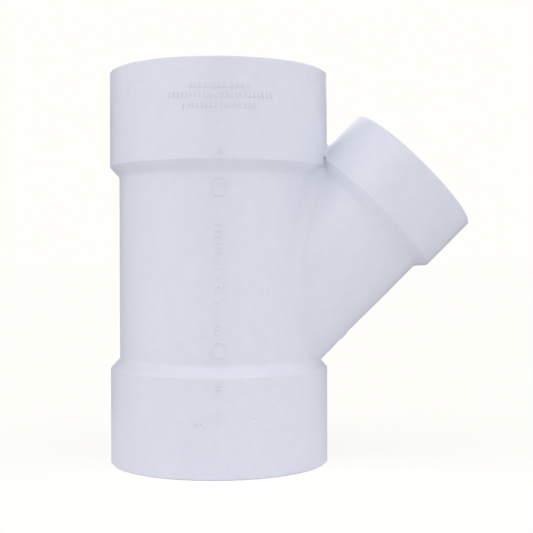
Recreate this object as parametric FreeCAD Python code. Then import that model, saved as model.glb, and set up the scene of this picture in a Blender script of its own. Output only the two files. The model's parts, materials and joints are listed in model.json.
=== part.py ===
import FreeCAD, Part
import math
import os

from FreeCAD import Vector

# Lateral wye fitting, moulded in one piece: a straight run with a plain socket at each end, and a
# smaller branch that leaves the run at 45 degrees and ends in a plain socket of its own.
# Lengths are millimetres. The run stands along Z with the middle of its lower mouth at the origin,
# and the branch leans up toward +X.

# Run, the straight way through
run_length = 326.0
run_pipe_diameter = 168.3
run_waterway_diameter = 154.1
run_barrel_wall = 6.65
run_hub_wall = 7.1
run_hub_length = 78.8
run_hub_chamfer = 8.2
run_socket_depth = 76.2

# Branch, measured along its own axis from where that axis crosses the run's
branch_angle = 45.0
branch_crossing_height = 80.0
branch_reach = 233.7
branch_pipe_diameter = 114.3
branch_waterway_diameter = 102.3
branch_barrel_wall = 6.2
branch_hub_wall = 7.4
branch_hub_length = 49.0
branch_hub_chamfer = 8.4
branch_socket_depth = 44.45

# Room round a pipe in its socket, on the radius, for the solvent cement
socket_clearance = 0.15

# Edges
mouth_bevel = 1.0
mouth_lead_in = 1.0
hub_corner_round = 1.0
hub_foot_round = 4.0
barrel_blend_radius = 14.0
crotch_blend_radius = 2.5

# Injection gate, under the branch: a shallow dish in the wall, with the stub of the gate in it
gate_dish_depth = 1.6
gate_dish_length = 74.0
gate_dish_distance = 102.5
gate_stub_radius = 3.5
gate_stub_height = 2.0
gate_stub_round = 0.8
gate_stub_distance = 92.4

# Radii that follow from the sizes above
run_socket_radius = run_pipe_diameter / 2 + socket_clearance
run_waterway_radius = run_waterway_diameter / 2
run_barrel_radius = run_waterway_radius + run_barrel_wall
run_hub_radius = run_socket_radius + run_hub_wall
branch_socket_radius = branch_pipe_diameter / 2 + socket_clearance
branch_waterway_radius = branch_waterway_diameter / 2
branch_barrel_radius = branch_waterway_radius + branch_barrel_wall
branch_hub_radius = branch_socket_radius + branch_hub_wall

# How far a cutting tool runs out of a mouth
overrun = 5.0


def branch_placement():
    """Carry a shape built along Z onto the branch's axis."""
    lean = FreeCAD.Rotation(Vector(0, 1, 0), branch_angle)
    return FreeCAD.Placement(Vector(0, 0, branch_crossing_height), lean)


def on_branch(shape):
    shape.Placement = branch_placement()
    return shape


def outline(corners):
    """A closed wire in the XZ plane. Each corner is (radius, height, rounding)."""
    points = [Vector(radius, 0, height) for radius, height, rounding in corners]
    edges = []
    starts = []
    ends = []
    for i, (radius, height, rounding) in enumerate(corners):
        here = points[i]
        back = (points[i - 1] - here).normalize()
        ahead = (points[(i + 1) % len(points)] - here).normalize()
        if rounding == 0:
            starts.append(here)
            ends.append(here)
            continue
        half_angle = back.getAngle(ahead) / 2
        setback = rounding / math.tan(half_angle)
        first = here + back * setback
        last = here + ahead * setback
        inward = (back + ahead).normalize()
        centre = here + inward * (rounding / math.sin(half_angle))
        middle = centre - inward * rounding
        edges.append(Part.Arc(first, middle, last).toShape())
        starts.append(first)
        ends.append(last)
    for i in range(len(points)):
        following = starts[(i + 1) % len(points)]
        if ends[i].distanceToPoint(following) > 1e-6:
            edges.append(Part.LineSegment(ends[i], following).toShape())
    return Part.Wire(Part.sortEdges(edges)[0])


def turned(corners):
    """The solid that an outline sweeps when it turns once round Z."""
    return Part.Face(outline(corners)).revolve(Vector(0, 0, 0), Vector(0, 0, 1), 360)


def run_outside():
    hub_foot = run_hub_length + run_hub_chamfer
    return turned([
        (0, 0, 0),
        (run_hub_radius - mouth_bevel, 0, 0),
        (run_hub_radius, mouth_bevel, 0),
        (run_hub_radius, run_hub_length, hub_corner_round),
        (run_barrel_radius, hub_foot, hub_foot_round),
        (run_barrel_radius, run_length - hub_foot, hub_foot_round),
        (run_hub_radius, run_length - run_hub_length, hub_corner_round),
        (run_hub_radius, run_length - mouth_bevel, 0),
        (run_hub_radius - mouth_bevel, run_length, 0),
        (0, run_length, 0),
    ])


def branch_outside():
    hub_start = branch_reach - branch_hub_length
    return on_branch(turned([
        (0, 0, 0),
        (branch_barrel_radius, 0, 0),
        (branch_barrel_radius, hub_start - branch_hub_chamfer, hub_foot_round),
        (branch_hub_radius, hub_start, hub_corner_round),
        (branch_hub_radius, branch_reach - mouth_bevel, 0),
        (branch_hub_radius - mouth_bevel, branch_reach, 0),
        (0, branch_reach, 0),
    ]))


def run_inside():
    """The way through the run: a socket at each end, with a stop shoulder, and the waterway between."""
    floor = run_socket_depth
    ceiling = run_length - run_socket_depth
    entry_radius = run_socket_radius + mouth_lead_in
    return turned([
        (0, -overrun, 0),
        (entry_radius, -overrun, 0),
        (entry_radius, 0, 0),
        (run_socket_radius, mouth_lead_in, 0),
        (run_socket_radius, floor, 0),
        (run_waterway_radius, floor, 0),
        (run_waterway_radius, ceiling, 0),
        (run_socket_radius, ceiling, 0),
        (run_socket_radius, run_length - mouth_lead_in, 0),
        (entry_radius, run_length, 0),
        (entry_radius, run_length + overrun, 0),
        (0, run_length + overrun, 0),
    ])


def branch_inside():
    """The way through the branch, from the run's axis to the branch's mouth."""
    floor = branch_reach - branch_socket_depth
    entry_radius = branch_socket_radius + mouth_lead_in
    return on_branch(turned([
        (0, 0, 0),
        (branch_waterway_radius, 0, 0),
        (branch_waterway_radius, floor, 0),
        (branch_socket_radius, floor, 0),
        (branch_socket_radius, branch_reach - mouth_lead_in, 0),
        (entry_radius, branch_reach, 0),
        (entry_radius, branch_reach + overrun, 0),
        (0, branch_reach + overrun, 0),
    ]))


def creases(shape):
    """The edges where a wall round the run's axis meets a wall round the branch's axis."""
    found = []
    for edge in shape.Edges:
        faces = shape.ancestorsOfType(edge, Part.Face)
        if len(faces) == 2 and all(isinstance(face.Surface, Part.Cylinder) for face in faces):
            lean = faces[0].Surface.Axis.getAngle(faces[1].Surface.Axis)
            if 0.1 < lean < math.pi - 0.1:
                found.append(edge)
    return found


def barrel_blend():
    """Both barrels as plain round bars, with a fillet where they meet."""
    run_bar = Part.makeCylinder(run_barrel_radius, run_length)
    branch_bar = on_branch(Part.makeCylinder(branch_barrel_radius, branch_reach))
    joined = run_bar.fuse(branch_bar)
    return joined.makeFillet(barrel_blend_radius, creases(joined))


def crotch_blend():
    """The web between the two hubs, where they grow into each other above the crotch."""
    run_bar = Part.makeCylinder(run_hub_radius, run_length - 2 * mouth_bevel)
    branch_bar = on_branch(Part.makeCylinder(branch_hub_radius, 2 * branch_reach))
    joined = run_bar.fuse(branch_bar)
    joined = joined.makeFillet(crotch_blend_radius, creases(joined))
    start = branch_reach - branch_hub_length + hub_corner_round
    end = branch_reach - 2 * mouth_bevel
    window = Part.makeCylinder(2 * branch_reach, end - start, Vector(0, 0, start))
    return joined.common(on_branch(window))


def gate_dish():
    """A wide ball, kept to a thin layer on the branch's underside, scoops out the dish."""
    half_length = gate_dish_length / 2
    ball_radius = (half_length ** 2 + gate_dish_depth ** 2) / (2 * gate_dish_depth)
    dish_bottom = branch_barrel_radius - gate_dish_depth
    ball = Part.makeSphere(ball_radius, Vector(dish_bottom + ball_radius, 0, gate_dish_distance))
    start = Vector(0, 0, gate_dish_distance - half_length)
    layer = Part.makeCylinder(branch_barrel_radius + gate_stub_height, gate_dish_length, start)
    return on_branch(ball.common(layer))


def gate_stub():
    """What is left of the gate: a low round stub that stands square to the branch's underside."""
    root = branch_waterway_radius + branch_barrel_wall / 2
    top = branch_barrel_radius - gate_dish_depth + gate_stub_height
    stub = turned([
        (0, root, 0),
        (gate_stub_radius, root, 0),
        (gate_stub_radius, top, gate_stub_round),
        (0, top, 0),
    ])
    stub.rotate(Vector(0, 0, 0), Vector(0, 1, 0), 90)
    stub.translate(Vector(0, 0, gate_stub_distance))
    moved = branch_placement().multiply(stub.Placement)
    stub.Placement = moved
    return stub


def wye_body():
    outside = run_outside().fuse([branch_outside(), barrel_blend(), crotch_blend()])
    outside = outside.cut(gate_dish()).fuse(gate_stub())
    body = outside.cut([run_inside(), branch_inside()])
    return body.Solids[0]


os.makedirs("parts", exist_ok=True)
wye_body().exportStep("parts/wye_body.step")
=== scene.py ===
# %% [markdown]
# # A white PVC wye fitting
# The real object is one injection-moulded piece of rigid PVC: a straight run with a socket hub at each
# end, and a smaller branch that leaves it at 45 degrees. The frame already holds that whole wall with its
# hubs, steps and blends, at its real size, so it isn't modelled a second time here. This lesson sets the
# camera and the studio round it, gives it its plastic, and adds the fine things that the mould leaves on
# such a part: the seam where the two halves of the mould met, a little plastic in the slits beside the
# web between the hubs, and the small raised marks on the front.

# %% Load the frame
import json
import math

import bpy
from mathutils import Matrix, Vector


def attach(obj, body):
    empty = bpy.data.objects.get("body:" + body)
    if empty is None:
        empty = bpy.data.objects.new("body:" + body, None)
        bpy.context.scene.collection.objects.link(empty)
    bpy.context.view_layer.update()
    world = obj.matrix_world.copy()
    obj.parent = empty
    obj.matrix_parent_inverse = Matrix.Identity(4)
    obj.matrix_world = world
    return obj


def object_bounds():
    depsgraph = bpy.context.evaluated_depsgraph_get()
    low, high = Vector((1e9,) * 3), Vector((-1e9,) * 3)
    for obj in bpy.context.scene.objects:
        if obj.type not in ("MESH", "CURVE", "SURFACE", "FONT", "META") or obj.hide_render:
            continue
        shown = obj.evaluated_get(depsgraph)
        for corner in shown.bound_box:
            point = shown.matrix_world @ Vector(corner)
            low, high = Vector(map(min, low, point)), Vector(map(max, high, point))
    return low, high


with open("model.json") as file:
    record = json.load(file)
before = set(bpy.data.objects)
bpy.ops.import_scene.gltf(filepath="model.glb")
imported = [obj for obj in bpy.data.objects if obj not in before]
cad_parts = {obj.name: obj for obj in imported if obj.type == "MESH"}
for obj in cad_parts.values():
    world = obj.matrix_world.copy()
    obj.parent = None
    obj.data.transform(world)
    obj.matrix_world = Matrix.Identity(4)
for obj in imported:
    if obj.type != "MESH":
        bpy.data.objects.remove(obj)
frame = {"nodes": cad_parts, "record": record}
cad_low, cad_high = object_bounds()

body = frame["nodes"]["wye_body"]
mounts = {mount["name"]: mount for mount in frame["record"]["mounts"]}
print("fitting from", tuple(round(c, 4) for c in cad_low), "to", tuple(round(c, 4) for c in cad_high))

# %% [markdown]
# ## Sizes
# All sizes are metres. The fitting's overall sizes are read from the frame, so they can't drift from it:
# the hub is as wide as the whole part is deep, and the run is as long as the part is tall. A few more
# come from the sockets that the record lists. Only what the frame doesn't hold is written out as a
# number.

# %% Sizes
MM = 0.001
RUN_LENGTH = cad_high.z
RUN_HUB_RADIUS = cad_high.y
RUN_BARREL_RADIUS = 83.7 * MM
RUN_SOCKET_RADIUS = mounts["run_outlet_socket"]["dims"]["r_mm"] * MM
BRANCH_MOUTH = Vector(mounts["branch_socket"]["pos_m"])
BRANCH_AXIS = Vector(mounts["branch_socket"]["axis"])
BRANCH_SOCKET_RADIUS = mounts["branch_socket"]["dims"]["r_mm"] * MM
BRANCH_CROSSING = BRANCH_MOUTH - BRANCH_AXIS * (BRANCH_MOUTH.x / BRANCH_AXIS.x)
BRANCH_REACH = (BRANCH_MOUTH - BRANCH_CROSSING).length
print("run", round(RUN_LENGTH, 4), "long, hub radius", round(RUN_HUB_RADIUS, 4))
print("branch reaches", round(BRANCH_REACH, 4), "from", tuple(round(c, 4) for c in BRANCH_CROSSING))

# %% [markdown]
# ## Camera
# The photograph was taken from about 0.9 m in front of the fitting, a little above its middle and nearly
# level. A camera could be placed by eye and nudged, but a wye has long straight edges that give every
# error away, so the place, the turn and the focal length used here were solved from the outline's
# straight edges and rim curves. Its axes are built from yaw, pitch and roll, because a camera looks along
# its own -Z.

# %% Camera
CAMERA_PLACE = Vector((26.83, -922.89, 171.96)) * MM
CAMERA_YAW = 0.0145
CAMERA_PITCH = -0.0089
CAMERA_ROLL = -0.0027
FOCAL_PIXELS = 1085.68
PHOTO_WIDTH = 533
SENSOR_WIDTH = 36

camera_data = bpy.data.cameras.new("camera")
camera_data.sensor_width = SENSOR_WIDTH
camera_data.lens = FOCAL_PIXELS / PHOTO_WIDTH * SENSOR_WIDTH
camera = bpy.data.objects.new("camera", camera_data)
bpy.context.scene.collection.objects.link(camera)
bpy.context.scene.camera = camera

forward = Vector((math.sin(CAMERA_YAW) * math.cos(CAMERA_PITCH),
                  math.cos(CAMERA_YAW) * math.cos(CAMERA_PITCH),
                  math.sin(CAMERA_PITCH)))
level_right = Vector((math.cos(CAMERA_YAW), -math.sin(CAMERA_YAW), 0))
level_up = level_right.cross(forward)
right = level_right * math.cos(CAMERA_ROLL) + level_up * math.sin(CAMERA_ROLL)
up = level_up * math.cos(CAMERA_ROLL) - level_right * math.sin(CAMERA_ROLL)
turn = Matrix((right, up, -forward)).transposed().to_4x4()
camera.matrix_world = Matrix.Translation(CAMERA_PLACE) @ turn
print("lens", round(camera_data.lens, 2), "mm")

# %% [markdown]
# ## A small kit for shader maths
# A shader is a formula in position, so it reads best as one. The `Wire` class wraps an output socket and
# turns `a * b + 1` into Math nodes, whichever side the wire stands on. Every other node comes from one
# method, `node`, which sets the node's options first and then fills its sockets with values or wires. The
# same kit serves the materials and the sky, because both are trees of nodes.

# %% Shader kit
class Wire:
    """An output socket that can be used in arithmetic."""

    def __init__(self, graph, socket):
        self.graph = graph
        self.socket = socket

    def maths(self, operation, first, second):
        return self.graph.node("ShaderNodeMath", {"operation": operation}, {0: first, 1: second})

    def __add__(self, other):
        return self.maths("ADD", self, other)

    def __radd__(self, other):
        return self.maths("ADD", other, self)

    def __sub__(self, other):
        return self.maths("SUBTRACT", self, other)

    def __rsub__(self, other):
        return self.maths("SUBTRACT", other, self)

    def __mul__(self, other):
        return self.maths("MULTIPLY", self, other)

    def __rmul__(self, other):
        return self.maths("MULTIPLY", other, self)


class Graph:
    """The node tree of a material or of the world."""

    def __init__(self, owner):
        owner.use_nodes = True
        self.owner = owner
        self.tree = owner.node_tree

    def node(self, kind, settings=None, sockets=None, output=0):
        made = self.tree.nodes.new(kind)
        for option, value in (settings or {}).items():
            if option == "stops":
                self.set_stops(made.color_ramp, value)
            else:
                setattr(made, option, value)
        for name, value in (sockets or {}).items():
            self.feed(made.inputs[name], value)
        return Wire(self, made.outputs[output])

    def set_stops(self, ramp, stops):
        while len(ramp.elements) < len(stops):
            ramp.elements.new(1)
        for element, (place, grey) in zip(ramp.elements, stops):
            element.position = place
            element.color = (grey, grey, grey, 1)

    def feed(self, socket, value):
        if isinstance(value, Wire):
            self.tree.links.new(value.socket, socket)
        else:
            socket.default_value = value


def finish_material(graph, **sockets):
    """Fills the Principled shader's own sockets and hands back the material."""
    surface = graph.tree.nodes["Principled BSDF"]
    for name, value in sockets.items():
        graph.feed(surface.inputs[name.replace("_", " ")], value)
    return graph.owner


# %% [markdown]
# ## Studio
# The photograph is a plain product shot: white all round, with light so soft that the fitting has almost
# no shadow. White things are shot in a tent of white cloth, lit from both sides. The tent is brightest
# left and right, dim behind, and has a gap in front, where the lens looks in. That gap is what draws the
# faint darker stripe down the middle of the run, and the dim back is what keeps the outline from melting
# into the white. The cloth is lit from low down, so it is a little dimmer towards the top, and its light
# is slightly cold. Lamps could be set one by one, but a tent is all one surface, so the world itself is
# made the tent: its brightness is a function of direction. What the camera sees directly is plain white.

# %% Tent of light
BACKDROP_COLOUR = (1.0, 0.992, 0.957, 1)
TENT_COLOUR = (0.908, 0.919, 0.995, 1)
TENT_STRENGTH = 1.135
# Degrees round from the front, counted to the right, and the tent's brightness there.
TENT_BRIGHTNESS = (
    (-180, 0.20), (-145, 0.25), (-110, 0.70), (-75, 1.20), (-40, 1.21), (-13, 1.14), (-8, 0.05),
    (13, 0.05), (19, 1.10), (40, 1.12), (80, 1.10), (110, 0.9), (145, 0.25), (180, 0.20))
# The share of its brightness that the tent has lost straight overhead.
TENT_TOP_LOSS = 0.15

world = bpy.data.worlds.new("studio")
bpy.context.scene.world = world
tent = Graph(world)
direction = tent.node("ShaderNodeTexCoord", output="Generated")
across = tent.node("ShaderNodeSeparateXYZ", sockets={0: direction}, output="X")
along = tent.node("ShaderNodeSeparateXYZ", sockets={0: direction}, output="Y")
upward = tent.node("ShaderNodeSeparateXYZ", sockets={0: direction}, output="Z")
round_front = tent.node("ShaderNodeMath", {"operation": "ARCTAN2"}, {0: across, 1: 0 - along})
ramp_stops = [(0.5 + degrees / 360, brightness) for degrees, brightness in TENT_BRIGHTNESS]
cloth = tent.node("ShaderNodeValToRGB", {"stops": ramp_stops}, {"Fac": round_front * (0.5 / math.pi) + 0.5})
glow = (1 - upward * TENT_TOP_LOSS) * cloth * TENT_STRENGTH
tent_light = tent.node("ShaderNodeBackground", sockets={"Color": TENT_COLOUR, "Strength": glow})
backdrop = tent.node("ShaderNodeBackground", sockets={"Color": BACKDROP_COLOUR, "Strength": 1.0})
seen_directly = tent.node("ShaderNodeLightPath", output="Is Camera Ray")
mixed = tent.node("ShaderNodeMixShader", sockets={0: seen_directly, 1: tent_light, 2: backdrop})
tent.feed(tent.tree.nodes["World Output"].inputs["Surface"], mixed)
bpy.context.scene.view_settings.view_transform = "Standard"
print("tent of", len(TENT_BRIGHTNESS), "stops and", len(tent.tree.nodes), "nodes")

# %% [markdown]
# ## Soft boxes
# Two large soft boxes help the tent. A weak one overhead lifts the rims and the upper faces of the steps.
# The other hangs high behind the fitting, because a tent that is dim at the back leaves the fitting's own
# back too grey. It is so high that it doesn't mirror in the edges that the camera sees, which have to
# stay dark against the white. It would also draw a shadow on the floor, so light linking lets it reach
# the fitting alone: a lamp with a receiver collection lights only what is in that collection.

# %% Soft boxes
TOP_LIGHT_PLACE = (0.0, -0.5, 1.7)
TOP_LIGHT_SIZE = 1.8
TOP_LIGHT_POWER = 1.5
BACK_LIGHT_PLACE = (0.0, 1.4, 1.2)
BACK_LIGHT_SIZE = 1.6
BACK_LIGHT_POWER = 10.0


def soft_box(name, place, size, power):
    """A square lamp that faces the foot of the fitting and doesn't show itself."""
    light = bpy.data.lights.new(name, "AREA")
    light.size = size
    light.energy = power
    lamp = bpy.data.objects.new(name, light)
    lamp.location = place
    lamp.rotation_euler = (-Vector(place)).to_track_quat("-Z", "Y").to_euler()
    lamp.visible_camera = False
    bpy.context.scene.collection.objects.link(lamp)
    print(name, "of", power, "W,", size, "m wide")
    return lamp


soft_box("top_light", TOP_LIGHT_PLACE, TOP_LIGHT_SIZE, TOP_LIGHT_POWER)
back_lamp = soft_box("back_light", BACK_LIGHT_PLACE, BACK_LIGHT_SIZE, BACK_LIGHT_POWER)
back_lamp.data.color = TENT_COLOUR[:3]
lit_from_behind = bpy.data.collections.new("lit_from_behind")
lit_from_behind.objects.link(body)
back_lamp.light_linking.receiver_collection = lit_from_behind

# %% [markdown]
# ## Floor
# The floor is a matt sheet, so wide that its far edge is lost in the white. In such a shot the backdrop
# gets lamps of its own, so that it comes out white while the fitting doesn't. The same is done here: the
# camera sees the sheet lit up to white, with a faint shadow, but towards the fitting it throws back the
# light of a pale grey one. Behind the fitting that grey falls off, as it does where no lamp reaches,
# because a bright floor there mirrors in the lower part of the outline and washes it out.

# %% Floor
FLOOR_SIZE = 60.0
FLOOR_GREY = 0.93
FLOOR_BACK_GREY = 0.45
# Where the grey starts to fall off and where it has fallen off, as distances behind the run's axis.
FALL_OFF_START = 0.0
FALL_OFF_END = 0.35
FLOOR_WHITE = (0.33, 0.325, 0.289, 1)
FLOOR_GLOW = 0.765

sheet = Graph(bpy.data.materials.new("studio_sheet"))
sheet_place = sheet.node("ShaderNodeTexCoord", output="Object")
behind = sheet.node("ShaderNodeSeparateXYZ", sockets={0: sheet_place}, output="Y")
grey = sheet.node("ShaderNodeMapRange", {"interpolation_type": "SMOOTHSTEP"}, {
    "Value": behind, "From Min": FALL_OFF_START, "From Max": FALL_OFF_END,
    "To Min": FLOOR_GREY, "To Max": FLOOR_BACK_GREY})
grey_sheet = sheet.node("ShaderNodeBsdfDiffuse", sockets={"Color": grey})
white_sheet = sheet.node("ShaderNodeAddShader", sockets={
    0: sheet.node("ShaderNodeBsdfDiffuse", sockets={"Color": FLOOR_WHITE}),
    1: sheet.node("ShaderNodeEmission", sockets={"Color": BACKDROP_COLOUR, "Strength": FLOOR_GLOW})})
sheet_seen = sheet.node("ShaderNodeMixShader", sockets={
    0: sheet.node("ShaderNodeLightPath", output="Is Camera Ray"), 1: grey_sheet, 2: white_sheet})
sheet.feed(sheet.tree.nodes["Material Output"].inputs["Surface"], sheet_seen)

bpy.ops.mesh.primitive_plane_add(size=FLOOR_SIZE, location=(0, 0, 0))
floor = bpy.context.object
floor.name = "floor"
floor.data.materials.append(sheet.owner)
print("floor", FLOOR_SIZE, "m wide")

# %% [markdown]
# ## White PVC
# Rigid PVC from a mould is smooth with a soft sheen, and a touch cold and violet in its white. It isn't
# perfectly even: the melt leaves very faint clouds where it flowed together, the wall has a fine orange
# peel that breaks up reflections, and a few specks of dark matter are caught in it. A flat colour would
# look like paper. So the colour is mixed between two close whites, by slow noise drawn out along the run
# and by a finer mottle. The sheen changes a little with the same clouds, and two sizes of bump carry the
# orange peel.

# %% White PVC
PVC_BRIGHT = (0.880, 0.890, 0.928, 1)
PVC_DULL = (0.830, 0.840, 0.880, 1)
PVC_IOR = 1.53
# How far the clouds are drawn out along the run: a smaller number stretches them more.
DRAWN_OUT = (1, 1, 0.35)
CLOUD_SCALE = 16.0
MOTTLE_SCALE = 130.0
# The mix of the two whites is the clouds and the mottle by these weights, less an offset.
CLOUD_WEIGHT = 0.45
MOTTLE_WEIGHT = 1.1
MIX_OFFSET = 0.28
SHEEN_LEAST = 0.29
SHEEN_SPREAD = 0.05
SPECK_COLOUR = (0.33, 0.32, 0.34, 1)
SPECK_PLACES = (Vector((-12.1, -90.6, 43.5)) * MM, Vector((29.4, -86.5, 47.3)) * MM)
SPECK_RADIUS = 0.6 * MM
PEEL_SCALE = 420.0
PEEL_SHARE = 0.25
RIPPLE_SCALE = 60.0
SKIN_STRENGTH = 0.35
SKIN_DEPTH = 0.2 * MM


def pvc_colour(graph, place, clouds):
    mottle = graph.node("ShaderNodeTexNoise",
                        sockets={"Vector": place, "Scale": MOTTLE_SCALE, "Detail": 2.0, "Roughness": 0.6})
    mix = clouds * CLOUD_WEIGHT + mottle * MOTTLE_WEIGHT - MIX_OFFSET
    white = graph.node("ShaderNodeMix", {"data_type": "RGBA"},
                       {"Factor": mix, 6: PVC_DULL, 7: PVC_BRIGHT}, output=2)
    specks = 0.0
    for speck in SPECK_PLACES:
        distance = graph.node("ShaderNodeVectorMath", {"operation": "DISTANCE"},
                              {0: place, 1: tuple(speck)}, output="Value")
        specks = specks + graph.node("ShaderNodeMapRange", {"interpolation_type": "SMOOTHSTEP"},
                                     {"Value": distance, "From Min": SPECK_RADIUS, "From Max": 0.0})
    return graph.node("ShaderNodeMix", {"data_type": "RGBA"},
                      {"Factor": specks, 6: white, 7: SPECK_COLOUR}, output=2)


def pvc_skin(graph, place, drawn_out):
    peel = graph.node("ShaderNodeTexNoise", sockets={"Vector": place, "Scale": PEEL_SCALE, "Detail": 2.0})
    ripple = graph.node("ShaderNodeTexNoise",
                        sockets={"Vector": drawn_out, "Scale": RIPPLE_SCALE, "Detail": 1.0})
    height = peel * PEEL_SHARE + ripple * (1 - PEEL_SHARE)
    return graph.node("ShaderNodeBump", sockets={
        "Strength": SKIN_STRENGTH, "Distance": SKIN_DEPTH, "Height": height}, output="Normal")


def make_pvc(name):
    graph = Graph(bpy.data.materials.new(name))
    place = graph.node("ShaderNodeTexCoord", output="Object")
    drawn_out = graph.node("ShaderNodeMapping", sockets={"Vector": place, "Scale": DRAWN_OUT})
    noise = graph.node("ShaderNodeTexNoise",
                       sockets={"Vector": drawn_out, "Scale": CLOUD_SCALE, "Detail": 3.0, "Roughness": 0.55})
    clouds = graph.node("ShaderNodeMapRange", {"interpolation_type": "SMOOTHSTEP"},
                        {"Value": noise, "From Min": 0.3, "From Max": 0.7})
    return finish_material(graph, Base_Color=pvc_colour(graph, place, clouds),
                           Roughness=clouds * SHEEN_SPREAD + SHEEN_LEAST,
                           Normal=pvc_skin(graph, place, drawn_out), IOR=PVC_IOR)


white_pvc = make_pvc("white_pvc")
body.data.materials.clear()
body.data.materials.append(white_pvc)
print(white_pvc.name, "of", len(white_pvc.node_tree.nodes), "nodes")

# %% [markdown]
# ## Helpers for the moulded details
# Every operator acts on whatever is selected, so each piece starts from an empty selection. A finished
# piece keeps its place in its mesh, with its object at the origin, so that one pattern of clouds runs on
# unbroken from the fitting into it. Each rides with the fitting's one body and takes the same plastic.

# %% Helpers
def select_only(*things):
    bpy.ops.object.select_all(action="DESELECT")
    for thing in things:
        thing.select_set(True)
    bpy.context.view_layer.objects.active = things[0]


def into_mesh(thing):
    """Moves the object's place and turn into its mesh."""
    select_only(thing)
    bpy.ops.object.transform_apply(location=True, rotation=True, scale=True)
    return thing


def copied(thing, placing):
    """A copy with its own mesh, at the given placing."""
    twin = bpy.data.objects.new(thing.name, thing.data.copy())
    bpy.context.scene.collection.objects.link(twin)
    twin.data.transform(placing)
    return twin


def joined(things, name):
    select_only(*things)
    bpy.ops.object.join()
    whole = bpy.context.object
    whole.name = name
    return whole


def moulded(piece):
    """The piece belongs to the fitting: same body, same plastic, same lamps."""
    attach(piece, "root")
    piece.data.materials.clear()
    piece.data.materials.append(white_pvc)
    lit_from_behind.objects.link(piece)
    print(piece.name, len(piece.data.polygons), "faces")
    return piece


# %% [markdown]
# ## Seam of the mould
# The two halves of the mould meet in the plane that holds both the run's axis and the branch's, and leave
# a hair-fine ridge along the outside. It could be drawn as a curve point by point, but then it would have
# to repeat every step and blend of the wall. It is cut from the fitting instead: a copy of its mesh is
# bisected by that plane with both halves cleared away, which leaves the wall's outline as edges. The
# inner edges and the rims go, and what is left becomes a curve with a small round bevel. The cut leaves
# doubles a little further apart than those of the mesh, so they are merged over a longer distance.

# %% Seam of the mould
SEAM_RADIUS = 0.2 * MM
MERGE_DISTANCE = 0.002 * MM
CUT_MERGE_DISTANCE = 10 * MERGE_DISTANCE
# Radii between the inner and the outer face of each wall, and depths just past each socket's floor.
RUN_INSIDE = 80.0 * MM
BRANCH_INSIDE = 54.0 * MM
INTO_WALL = 0.5 * MM
RUN_SOCKET_WALL = RUN_SOCKET_RADIUS + INTO_WALL
RUN_SOCKET_DEPTH = 76.4 * MM
BRANCH_SOCKET_WALL = BRANCH_SOCKET_RADIUS + INTO_WALL
BRANCH_SOCKET_DEPTH = 44.6 * MM
RIM_MARGIN = 0.6 * MM


def on_outside(point):
    """Whether a point of the wall's outline lies on its outside, away from the sockets and rims."""
    along_branch = (point - BRANCH_CROSSING).dot(BRANCH_AXIS)
    off_branch = (point - BRANCH_CROSSING - along_branch * BRANCH_AXIS).length
    from_rim = min(point.z, RUN_LENGTH - point.z)
    in_run_socket = from_rim < RUN_SOCKET_DEPTH and abs(point.x) < RUN_SOCKET_WALL
    in_branch_socket = along_branch > BRANCH_REACH - BRANCH_SOCKET_DEPTH and off_branch < BRANCH_SOCKET_WALL
    inside_branch = along_branch > 0 and off_branch < BRANCH_INSIDE
    on_rim = from_rim < RIM_MARGIN or along_branch > BRANCH_REACH - RIM_MARGIN
    inside = abs(point.x) < RUN_INSIDE or in_run_socket or in_branch_socket or inside_branch
    return not inside and not on_rim


seam = copied(body, body.matrix_world)
seam.name = "mould_seam"
select_only(seam)
bpy.ops.object.mode_set(mode="EDIT")
bpy.ops.mesh.select_all(action="SELECT")
bpy.ops.mesh.remove_doubles(threshold=MERGE_DISTANCE)
bpy.ops.mesh.bisect(plane_co=(0, 0, 0), plane_no=(0, 1, 0), clear_inner=True, clear_outer=True)
bpy.ops.mesh.select_all(action="SELECT")
bpy.ops.mesh.remove_doubles(threshold=CUT_MERGE_DISTANCE)
bpy.ops.mesh.select_all(action="DESELECT")
bpy.ops.object.mode_set(mode="OBJECT")
for vertex in seam.data.vertices:
    vertex.select = not on_outside(vertex.co)
bpy.ops.object.mode_set(mode="EDIT")
bpy.ops.mesh.delete(type="VERT")
bpy.ops.object.mode_set(mode="OBJECT")
print("seam outline", len(seam.data.vertices), "points", len(seam.data.polygons), "faces left")

seam.data.materials.clear()
bpy.ops.object.convert(target="CURVE")
seam = bpy.context.object
seam.data.dimensions = "3D"
seam.data.bevel_depth = SEAM_RADIUS
seam.data.bevel_resolution = 1
seam.data.use_fill_caps = True
bpy.ops.object.convert(target="MESH")
seam = bpy.context.object
bpy.ops.object.shade_smooth()
moulded(seam)

# %% [markdown]
# ## Ends of the web
# The web between the two hubs stops at their steps, and below it the two walls leave a slit on each side.
# On the real moulding plastic runs a little way down between them, so the slit is shallow and shows as a
# soft line. Here a slim bead closes all but the slit's mouth. It starts as a ball and is stretched along
# the slit, because only its front shows and the rest is sunk in the walls, and is then mirrored to the
# other side. A mirrored mesh is inside out, so the twin's faces are flipped.

# %% Ends of the web
BEAD_MIDDLE = Vector((88.7, -24.3, 250.0)) * MM
BEAD_RADII = Vector((1.5, 2.4, 4.5)) * MM
BEAD_SIDES = 24
BEAD_RINGS = 16
TO_FAR_SIDE = Matrix.Scale(-1, 4, (0, 1, 0))

bpy.ops.object.select_all(action="DESELECT")
bpy.ops.mesh.primitive_uv_sphere_add(segments=BEAD_SIDES, ring_count=BEAD_RINGS, radius=1,
                                     location=BEAD_MIDDLE, scale=BEAD_RADII)
near_bead = into_mesh(bpy.context.object)
bpy.ops.object.shade_smooth()
far_bead = copied(near_bead, TO_FAR_SIDE)
far_bead.data.flip_normals()
moulded(joined([near_bead, far_bead], "web_ends"))

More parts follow.
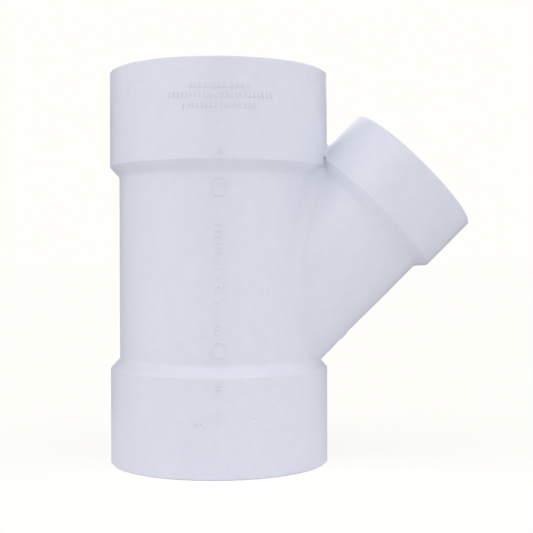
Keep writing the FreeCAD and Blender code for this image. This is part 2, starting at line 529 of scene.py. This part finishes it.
# %% [markdown]
# ## A raised dash
# The front of the real fitting carries low raised marks. Here they are plain rounded dashes that say
# nothing, in the same places and about as low as the real ones. A dash starts as a small block. The four
# edges that run from its back to its front are bevelled round, and the edge round its front is then
# eased, as a cutter leaves it in a mould. The dash is swung round the run's axis to its place, sunk a
# little into the wall, so that it stands out all over although the wall is curved.

# %% One raised dash
DASH_RAISE = 0.8 * MM
DASH_SUNK = 0.4 * MM
DASH_DEPTH = DASH_RAISE + DASH_SUNK
# The bevels, as shares of the dash's smaller side and of its raise.
CORNER_SHARE = 0.42
EASE_SHARE = 0.5
# Both ends of a front edge lie further out than this share of the raise.
FRONT_SHARE = 0.9


def select_edges(thing, wanted):
    """Selects, in edit mode, the edges whose two ends pass the test, and nothing else."""
    select_only(thing)
    bpy.ops.object.mode_set(mode="EDIT")
    bpy.ops.mesh.select_mode(type="EDGE")
    bpy.ops.mesh.select_all(action="DESELECT")
    bpy.ops.object.mode_set(mode="OBJECT")
    for edge in thing.data.edges:
        edge.select = wanted(*(thing.data.vertices[end].co for end in edge.vertices))
    bpy.ops.object.mode_set(mode="EDIT")


def rounded_dash(width, height):
    """A dash in the XZ plane, with its raised front towards -Y and the wall's face at y = 0."""
    bpy.ops.object.select_all(action="DESELECT")
    bpy.ops.mesh.primitive_cube_add(size=1, location=(0, DASH_SUNK - DASH_DEPTH / 2, 0),
                                    scale=(width, DASH_DEPTH, height))
    dash = into_mesh(bpy.context.object)
    select_edges(dash, lambda first, last: abs(first.y - last.y) > DASH_DEPTH / 2)
    bpy.ops.mesh.bevel(offset=CORNER_SHARE * min(width, height), segments=4, affect="EDGES")
    bpy.ops.object.mode_set(mode="OBJECT")
    select_edges(dash, lambda first, last: max(first.y, last.y) < -FRONT_SHARE * DASH_RAISE)
    bpy.ops.mesh.bevel(offset=EASE_SHARE * DASH_RAISE, segments=2, affect="EDGES")
    bpy.ops.object.mode_set(mode="OBJECT")
    return dash


def swung(arc, height, radius):
    """Moves from the pattern's place to an arc length round the run and a height on it."""
    return Matrix.Rotation(arc / radius, 4, "Z") @ Matrix.Translation((0, -radius, height))


print("dashes stand", round(DASH_RAISE / MM, 2), "mm out of the wall")

# %% [markdown]
# ## Rows on the upper hub
# Three rows of upright dashes run round the front of the upper hub. The rows are all built from one dash,
# so they are as even as if they were cut with one tool.

# %% Rows on the upper hub
# First and last place of each row round the hub's face, and the height of its middle, in mm.
HUB_ROWS = ((-19.9, 26.6, 303.7), (-37.2, 45.1, 296.7), (-25.5, 31.4, 288.2))
ROW_DASH_WIDTH = 1.6 * MM
ROW_DASH_HEIGHT = 4.8 * MM
ROW_PITCH = 3.5 * MM

pattern = rounded_dash(ROW_DASH_WIDTH, ROW_DASH_HEIGHT)
row_dashes = []
for first, last, height in HUB_ROWS:
    steps = round((last - first) * MM / ROW_PITCH)
    for step in range(steps + 1):
        arc = (first + (last - first) * step / steps) * MM
        row_dashes.append(copied(pattern, swung(arc, height * MM, RUN_HUB_RADIUS)))
bpy.data.objects.remove(pattern)
moulded(joined(row_dashes, "hub_rows"))

# %% [markdown]
# ## Column on the barrel and small marks
# Below the upper hub a column of short dashes runs down the barrel's front, and a few small ones stand on
# both hubs. They differ in size, so each is made at its own size.

# %% Column and small marks
# Place round the wall, height, and the mark's width and height, all in mm.
BARREL_COLUMN = (
    (1.4, 197.2, 4.6, 2.2), (1.4, 193.0, 5.0, 2.4), (1.4, 188.6, 5.0, 2.4), (1.4, 183.6, 5.0, 2.4),
    (1.4, 179.6, 5.0, 2.0), (1.4, 175.7, 5.0, 2.4), (1.4, 171.4, 5.0, 2.2), (1.4, 163.2, 5.0, 3.2),
    (1.4, 156.6, 4.0, 1.8), (1.4, 137.6, 5.0, 2.6), (1.4, 131.8, 3.4, 1.8), (1.4, 125.4, 2.2, 5.0),
    (1.4, 119.2, 5.0, 1.8), (1.4, 115.9, 5.0, 1.8), (1.4, 112.4, 5.0, 2.0))
UPPER_HUB_MARKS = ((1.7, 253.3, 1.7, 5.2), (5.0, 253.3, 1.7, 5.2))
LOWER_HUB_MARKS = (
    (1.6, 73.1, 4.6, 1.2), (1.6, 71.2, 4.6, 1.2), (1.6, 69.3, 4.6, 1.2), (1.6, 67.4, 4.6, 1.2),
    (1.6, 52.8, 3.6, 1.7), (1.6, 42.8, 3.6, 1.7), (-16.6, 42.6, 1.4, 3.4), (-14.2, 42.6, 1.4, 3.4),
    (-9.8, 42.6, 1.4, 3.4))


def marks(places, radius, name):
    made = []
    for arc, height, width, tall in places:
        dash = rounded_dash(width * MM, tall * MM)
        dash.data.transform(swung(arc * MM, height * MM, radius))
        made.append(dash)
    return moulded(joined(made, name))


marks(BARREL_COLUMN, RUN_BARREL_RADIUS, "barrel_column")
marks(UPPER_HUB_MARKS, RUN_HUB_RADIUS, "upper_hub_marks")
marks(LOWER_HUB_MARKS, RUN_HUB_RADIUS, "lower_hub_marks")

# %% [markdown]
# ## Raised rings
# Three plain rings stand above the column, in it and below it. The largest are about 15 mm wide, enough
# for the wall's curve to show, so a flat one would sink in at its sides. Each starts as a torus that faces
# the viewer and is then laid on the wall: a point's sideways place becomes an arc round the run, and its
# depth becomes its height above the wall, in the measure that gives it the same raise as the dashes.

# %% Raised rings
# Place round the wall, height and radius to the middle of the band, in mm.
RINGS = ((2.1, 226.4, 7.2), (1.9, 147.0, 2.6), (1.9, 99.6, 6.2))
RING_BAND = 0.8 * MM
RING_SIDES = 72
BAND_SIDES = 12


def raised_ring(arc, height, radius, wall):
    bpy.ops.object.select_all(action="DESELECT")
    bpy.ops.mesh.primitive_torus_add(major_radius=radius, minor_radius=RING_BAND, major_segments=RING_SIDES,
                                     minor_segments=BAND_SIDES, rotation=(math.pi / 2, 0, 0))
    ring = into_mesh(bpy.context.object)
    for vertex in ring.data.vertices:
        reach = wall - vertex.co.y * DASH_RAISE / RING_BAND
        turn_angle = (vertex.co.x + arc) / wall
        vertex.co.x = math.sin(turn_angle) * reach
        vertex.co.y = -math.cos(turn_angle) * reach
        vertex.co.z += height
    bpy.ops.object.shade_smooth()
    return ring


rings = [raised_ring(arc * MM, height * MM, radius * MM, RUN_BARREL_RADIUS) for arc, height, radius in RINGS]
moulded(joined(rings, "raised_rings"))
